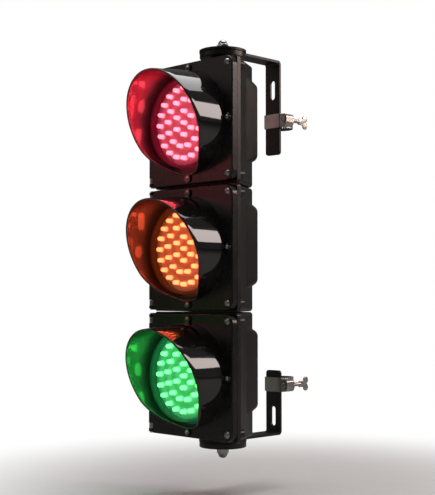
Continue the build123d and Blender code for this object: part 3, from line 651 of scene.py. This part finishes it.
# ---- clamps ------------------------------------------------------------------------------------
def thread(bm, centre, r, depth, pitch, start, end):
    """Screw thread along Y, closed at its ends, that runs out over the last few rings."""
    cx, cy, cz = centre
    around, rings_a_pitch, runout = 36, 8, 6
    rings = int((end - start) / (pitch / rings_a_pitch))
    loops = []
    for i in range(rings + 1):
        along = start + (end - start) * i / rings
        crest = depth * min(1.0, i / runout, (rings - i) / runout)
        loop = []
        for k in range(around):
            turn = (along / pitch + k / around) % 1.0
            radius = r - depth + crest * max(0.0, 1.0 - abs(2 * turn - 1.0) * 1.25)
            a = 2 * pi * k / around
            loop.append((cx + radius * cos(a), cy + along, cz + radius * sin(a)))
        loops.append(loop)
    rows = add_loops(bm, loops, closed=False)
    for row, along in ((rows[0], start), (rows[-1], end)):
        middle = bm.verts.new((cx, cy + along, cz))
        for k in range(around):
            bm.faces.new((row[k], row[(k + 1) % around], middle))


def rounded_plate(outline, thickness, edge):
    """Mesh of a flat plate in the XY plane, centred on Z = 0, with rounded edges."""
    curve = bpy.data.curves.new("plate", "CURVE")
    curve.dimensions, curve.fill_mode = "2D", "BOTH"
    curve.extrude, curve.bevel_depth, curve.offset = thickness / 2 - edge, edge, -edge
    curve.bevel_resolution = 3
    spline = curve.splines.new("POLY")
    spline.points.add(len(outline) - 1)
    for point, (x, y) in zip(spline.points, outline):
        point.co = (x, y, 0, 1)
    spline.use_cyclic_u = True
    holder = bpy.data.objects.new("plate", curve)
    bpy.context.scene.collection.objects.link(holder)
    depsgraph = bpy.context.evaluated_depsgraph_get()
    made = bpy.data.meshes.new_from_object(holder.evaluated_get(depsgraph))
    bpy.data.objects.remove(holder)
    bpy.data.curves.remove(curve)
    return made


def thumb_screw(end):
    """Worm screw with its thread and a two-lobed wing with rounded edges."""
    z = CLAMP_Z[end]
    axis = (WORM_X, 0.0, z)
    bm = bmesh.new()
    thread(bm, axis, *WORM_THREAD)
    add_turned(bm, WORM_END, axis)
    add_turned(bm, WORM_NECK, axis)
    half = WING_ROOT + arc_points(WING_LOBE, WING_LOBE_R, *WING_LOBE_ARC, 36)
    outline = half + [(y, -x) for y, x in reversed(half)]
    wing = rounded_plate(outline, WING_T, WING_EDGE)
    wing.transform(Matrix(((0, 0, 1, WORM_X), (1, 0, 0, 0), (0, 1, 0, z), (0, 0, 0, 1))))
    bm.from_mesh(wing)
    bpy.data.meshes.remove(wing)
    bmesh.ops.remove_doubles(bm, verts=bm.verts, dist=0.001 * MM)
    mesh = smooth_mesh(f"{end}_worm_and_wing", bm, 35)
    finish_piece(mesh.name, mesh, f"{end}_thumb_screw", "stainless", f"{end}_thumb_screw")


def band_points():
    """Points of the band's inner face, their outward normals, and which may have slots.

    They run half round the pole, down its left side, across the leg and up its right side.
    """
    r, front, corner = POLE_R, POLE_R + LEG_T, BAND_CORNER
    arc, straight, bend = 48, 8, 6
    points = []
    for k in range(arc + 1):
        a = pi * k / arc
        points.append((r * cos(a), r * sin(a), cos(a), sin(a), 3 <= k <= arc - 3))
    for k in range(1, straight):
        points.append((-r, -(front - corner) * k / straight, -1, 0, False))
    for x, start in ((-r + corner, 180), (r - corner, 270)):
        for k in range(bend + 1):
            a = radians(start + 90 / bend * k)
            y = -front + corner + corner * sin(a)
            points.append((x + corner * cos(a), y, cos(a), sin(a), False))
    for k in range(straight - 1, 0, -1):
        points.append((r, -(front - corner) * k / straight, 1, 0, False))
    return points


def clamp_band(end):
    """Strap round the pole and the bracket's leg, with slots for the worm across its back."""
    z = CLAMP_Z[end]
    points = band_points()
    last = len(BAND_ACROSS) - 1
    slot_strip = last // 2
    bm = bmesh.new()
    inner, outer = {}, {}
    for i, (x, y, nx, ny, _) in enumerate(points):
        for j, w in enumerate(BAND_ACROSS):
            inner[i, j] = bm.verts.new((x, y, z + w))
        for j, w in enumerate(BAND_ACROSS):
            t = BAND_EDGE_T if j in (0, last) else BAND_T
            outer[i, j] = bm.verts.new((x + t * nx, y + t * ny, z + w))

    def wall(a, b):
        """Face from the inner to the outer side of the strap."""
        bm.faces.new((inner[a], outer[a], outer[b], inner[b]))

    for i, point in enumerate(points):
        n = (i + 1) % len(points)
        for j in range(last):
            if point[4] and j == slot_strip and i % 3 == 0:
                wall((i, j), (n, j))
                wall((i, j + 1), (n, j + 1))
                wall((i, j), (i, j + 1))
                wall((n, j), (n, j + 1))
            else:
                for side in (inner, outer):
                    bm.faces.new((side[i, j], side[n, j], side[n, j + 1], side[i, j + 1]))
        for j in (0, last):
            wall((i, j), (n, j))
    mesh = smooth_mesh(f"{end}_slotted_band", bm, 30)
    finish_piece(mesh.name, mesh, "pole_mount", "stainless", f"{end}_clamp_band")


# ---- cable gland and electronics ---------------------------------------------------------------
def round_r(size, a):
    """Radius of a round ring of the gland."""
    return size * MM


def hex_r(size, a):
    """Radius of its hexagon, as a part of full size, with the corners turned down."""
    return min(8.5 * MM * size / cos((a + pi / 6) % (pi / 3) - pi / 6), 9.7 * MM)


def ribbed_r(size, a):
    """Radius of its cap, with twelve grooves."""
    return size * MM - 0.45 * MM * (0.5 - 0.5 * cos(12 * a))**2


# (distance along Y from the wall in mm, size, shape), from the thread out and back through the hole
GLAND_RINGS = (
    [(-10.0, 5.2, round_r), (-9.4, 5.9, round_r)]
    + [(-9.2 + 0.6 * k, 5.45 if k % 2 else 5.95, round_r) for k in range(15)]
    + [(0.0, 5.9, round_r), (0.0, 0.95, hex_r), (0.5, 1.0, hex_r), (4.5, 1.0, hex_r),
       (5.0, 0.93, hex_r), (5.0, 6.9, round_r), (5.4, 6.9, round_r), (5.5, 7.2, round_r),
       (5.8, 7.6, ribbed_r), (10.4, 7.6, ribbed_r), (11.2, 7.1, ribbed_r), (11.8, 6.2, round_r),
       (12.0, 5.2, round_r), (12.0, 3.8, round_r), (11.5, 3.2, round_r), (2.0, 3.2, round_r),
       (2.0, 4.2, round_r), (-10.0, 4.2, round_r)])
GLAND_OUT = 12.0 * MM                                # from the wall to the gland's end


def cable_gland():
    """Gland with a thread, a hexagon, a ribbed cap and its cable hole."""
    low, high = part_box("cable_gland")
    cx, cz, wall = (low.x + high.x) / 2, (low.z + high.z) / 2, high.y - GLAND_OUT
    turns = [2 * pi * k / 144 for k in range(144)]
    loops = []
    for along, size, shape in GLAND_RINGS:
        y = wall + along * MM
        loops.append([(cx + shape(size, a) * sin(a), y, cz + shape(size, a) * cos(a))
                      for a in turns])
    bm = bmesh.new()
    add_loops(bm, loops)
    mesh = smooth_mesh("ribbed_gland", bm, 35)
    finish_piece(mesh.name, mesh, "head", "gland_black", "cable_gland")


def electronics():
    """Terminal screws, board screws and the small parts between the relays."""
    low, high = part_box("terminal_block")
    bm = bmesh.new()
    for k in range(TERMINALS):
        x = (k - (TERMINALS - 1) / 2) * TERMINAL_PITCH
        cross_screw(bm, (x, low.y + TERMINAL_SEAT, (low.z + high.z) / 2), *TERMINAL_HEAD)
    low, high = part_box("control_board")
    front, middle = low.y, (low.z + high.z) / 2
    for x in (-BOARD_SCREW_X, BOARD_SCREW_X):
        for z in (-BOARD_SCREW_Z, BOARD_SCREW_Z):
            cross_screw(bm, (x, front, middle + z), *BOARD_HEAD)
    mesh = smooth_mesh("board_and_terminal_screws", bm, 30)
    finish_piece(mesh.name, mesh, "head", "stainless")

    # low and high X, height off the board, and low and high Z from its middle, in mm
    chips = [(-3, 5, 1.2, -12, -4)]
    chips += [(-3.4 + 2.2 * k, -2.2 + 2.2 * k, 0.6, -19, -16) for k in range(5)]
    chips += [(-21 + 17 * k, -14 + 17 * k, 1.8, 0.4, 3.4) for k in range(3)]
    bm = bmesh.new()
    for x0, x1, tall, z0, z1 in chips:
        add_box(bm, (x0 * MM, front - tall * MM, middle + z0 * MM),
                (x1 * MM, front, middle + z1 * MM))
    mesh = smooth_mesh("small_board_parts", bm, 30)
    finish_piece(mesh.name, mesh, "head", "component_dark")


# ---- lamp light --------------------------------------------------------------------------------
def lamp_glow(colour, hood):
    """Light that the lamp casts into its visor and nowhere else."""
    data = bpy.data.lights.new(f"{colour}_lamp_glow", "AREA")
    data.shape = "DISK"
    data.size = 92.0 * MM
    data.color = LIGHT[colour]["cast"]
    data.energy = LIGHT[colour]["glow_watts"]
    lamp = bpy.data.objects.new(data.name, data)
    bpy.context.scene.collection.objects.link(lamp)
    place = (0, FACE - LENS_CUP - LENS_RISE - 0.6 * MM, LAMP_Z[colour])
    lamp.matrix_world = Matrix.Translation(place) @ Matrix.Rotation(-pi / 2, 4, "X")
    lamp.parent = frame["bodies"][f"{colour}_door"]
    lamp.visible_camera = False
    lamp.visible_glossy = False
    lit = bpy.data.collections.new(f"{colour}_lamp_lights")
    lit.objects.link(hood)
    lamp.light_linking.receiver_collection = lit


for colour in COLOURS:
    hood = visor(colour)
    leds(colour)
    lens(colour)
    screws(colour)
    lamp_glow(colour, hood)
for end in CLAMP_Z:
    thumb_screw(end)
    clamp_band(end)
cable_gland()
electronics()


# ---- stage: floor, background, lights, camera --------------------------------------------------
FLOOR_DROP = 42.0 * MM                               # the head hangs this far above the floor
FLOOR_HALF = 12.0                                    # half its width, in metres
FLOOR_FADE = (0.30, 0.62)                            # distances at which it starts and ends to fade
FLOOR_HIDDEN = 0.6                                   # share of it that reflections leave out
BACKGROUND = (1.0, 1.0, 1.0, 1.0)                    # as the camera sees it
STUDIO_FRONT, STUDIO_BACK = 0.04, 0.11               # world light before and behind the head


def floor():
    """Pale floor that fades into the plain background, and that reflections show dimly."""
    low, half = CAD_BOX[0].z - FLOOR_DROP, FLOOR_HALF
    mesh = bpy.data.meshes.new("floor")
    corners = [(-half, -half, low), (half, -half, low), (half, half, low), (-half, half, low)]
    mesh.from_pydata(corners, [], [(0, 1, 2, 3)])
    made = bpy.data.objects.new("floor", mesh)
    bpy.context.scene.collection.objects.link(made)
    finish = Finish("floor", Roughness=0.7)
    grain = finish.noise(30.0, 3.0, 0.6)
    finish.feed(Base_Color=finish.ramp(grain, (0.3, (0.86, 0.86, 0.86)), (0.7, (0.88, 0.88, 0.88))))
    distance = finish.node("ShaderNodeVectorMath", operation="LENGTH")
    finish.link(finish.place, distance.inputs[0])
    fade = finish.node("ShaderNodeMapRange", interpolation_type="SMOOTHSTEP")
    fade.inputs["From Min"].default_value, fade.inputs["From Max"].default_value = FLOOR_FADE
    finish.link(distance.outputs["Value"], fade.inputs["Value"])
    glow = finish.node("ShaderNodeEmission")
    glow.inputs["Color"].default_value = BACKGROUND
    mix = finish.node("ShaderNodeMixShader")
    path = finish.node("ShaderNodeLightPath")
    dim = finish.node("ShaderNodeMixShader")
    seen, mirrored = path.outputs["Is Camera Ray"], path.outputs["Is Glossy Ray"]
    finish.link(finish.math("MULTIPLY", mirrored, FLOOR_HIDDEN), dim.inputs["Fac"])
    finish.link(finish.math("MULTIPLY", fade.outputs["Result"], seen), mix.inputs["Fac"])
    finish.link(finish.shader.outputs["BSDF"], mix.inputs[1])
    finish.link(glow.outputs["Emission"], mix.inputs[2])
    finish.link(mix.outputs["Shader"], dim.inputs[1])
    finish.link(dim.outputs["Shader"], finish.output.inputs["Surface"])
    mesh.materials.append(finish.material)


def surroundings():
    """Dim studio, brighter behind the head than before it, and plain where the camera sees it."""
    world = bpy.data.worlds.new("studio")
    bpy.context.scene.world = world
    world.use_nodes = True
    tree = world.node_tree
    tree.nodes.clear()
    place = tree.nodes.new("ShaderNodeTexCoord")
    split = tree.nodes.new("ShaderNodeSeparateXYZ")
    behind = tree.nodes.new("ShaderNodeMapRange")
    behind.inputs["From Min"].default_value = -0.25
    behind.inputs["From Max"].default_value = 0.35
    behind.inputs["To Min"].default_value = STUDIO_FRONT
    behind.inputs["To Max"].default_value = STUDIO_BACK
    light = tree.nodes.new("ShaderNodeBackground")
    plain = tree.nodes.new("ShaderNodeBackground")
    plain.inputs["Color"].default_value = BACKGROUND
    path = tree.nodes.new("ShaderNodeLightPath")
    mix = tree.nodes.new("ShaderNodeMixShader")
    output = tree.nodes.new("ShaderNodeOutputWorld")
    for source, target in (
            (place.outputs["Generated"], split.inputs[0]),
            (split.outputs["Y"], behind.inputs["Value"]),
            (behind.outputs["Result"], light.inputs["Strength"]),
            (path.outputs["Is Camera Ray"], mix.inputs["Fac"]),
            (light.outputs["Background"], mix.inputs[1]),
            (plain.outputs["Background"], mix.inputs[2]),
            (mix.outputs["Shader"], output.inputs["Surface"])):
        tree.links.new(source, target)


def turn_to(made, place, direction):
    """Puts a light or camera at a place and points it in a direction."""
    made.location = place
    made.rotation_mode = "QUATERNION"
    made.rotation_quaternion = direction.to_track_quat("-Z", "Y")


def softbox(name, place, size, watts, aim=(0.0, -0.1, 0.0), colour=(1.0, 1.0, 1.0),
            shape="RECTANGLE"):
    """Area light, turned to what it is aimed at, that the camera doesn't see."""
    data = bpy.data.lights.new(name, "AREA")
    data.shape = shape
    data.size, data.size_y = size
    data.energy = watts
    data.color = colour
    made = bpy.data.objects.new(name, data)
    bpy.context.scene.collection.objects.link(made)
    turn_to(made, place, Vector(aim) - Vector(place))
    made.visible_camera = False


def camera():
    data = bpy.data.cameras.new("camera")
    data.lens = 80.0
    made = bpy.data.objects.new("camera", data)
    bpy.context.scene.collection.objects.link(made)
    turn_to(made, (0.950, -1.063, -0.0543), Vector((-0.7085, 0.7054, 0.0427)))
    bpy.context.scene.camera = made


floor()
surroundings()
softbox("visor_softbox", place=(1.15, 0.56, 0.62), size=(0.26, 0.80), watts=2.8,
        aim=(0.06, -0.2, 0.0), colour=(1.0, 0.86, 0.82), shape="ELLIPSE")
softbox("side_softbox", place=(1.45, 1.80, 0.95), size=(0.6, 0.6), watts=12.0,
        colour=(1.0, 0.74, 0.64))
softbox("top_softbox", place=(0.0, 0.3, 2.4), size=(2.2, 2.2), watts=34.0)
softbox("left_softbox", place=(-1.7, -1.8, 0.7), size=(0.9, 0.9), watts=0.8,
        colour=(1.0, 0.86, 0.82))
softbox("front_fill", place=(-0.8, -2.2, 1.6), size=(1.6, 1.6), watts=3.6,
        colour=(1.0, 0.90, 0.86))
for colour in COLOURS:      # each lamp's light on the doors
    softbox(f"{colour}_spill", place=(-0.42, -0.62, LAMP_Z[colour] + 0.03), size=(0.16, 0.10),
            watts=LIGHT[colour]["spill_watts"], aim=(0.06, FACE, LAMP_Z[colour]),
            colour=LIGHT[colour]["cast"])
camera()
bpy.context.scene.view_settings.view_transform = "Standard"
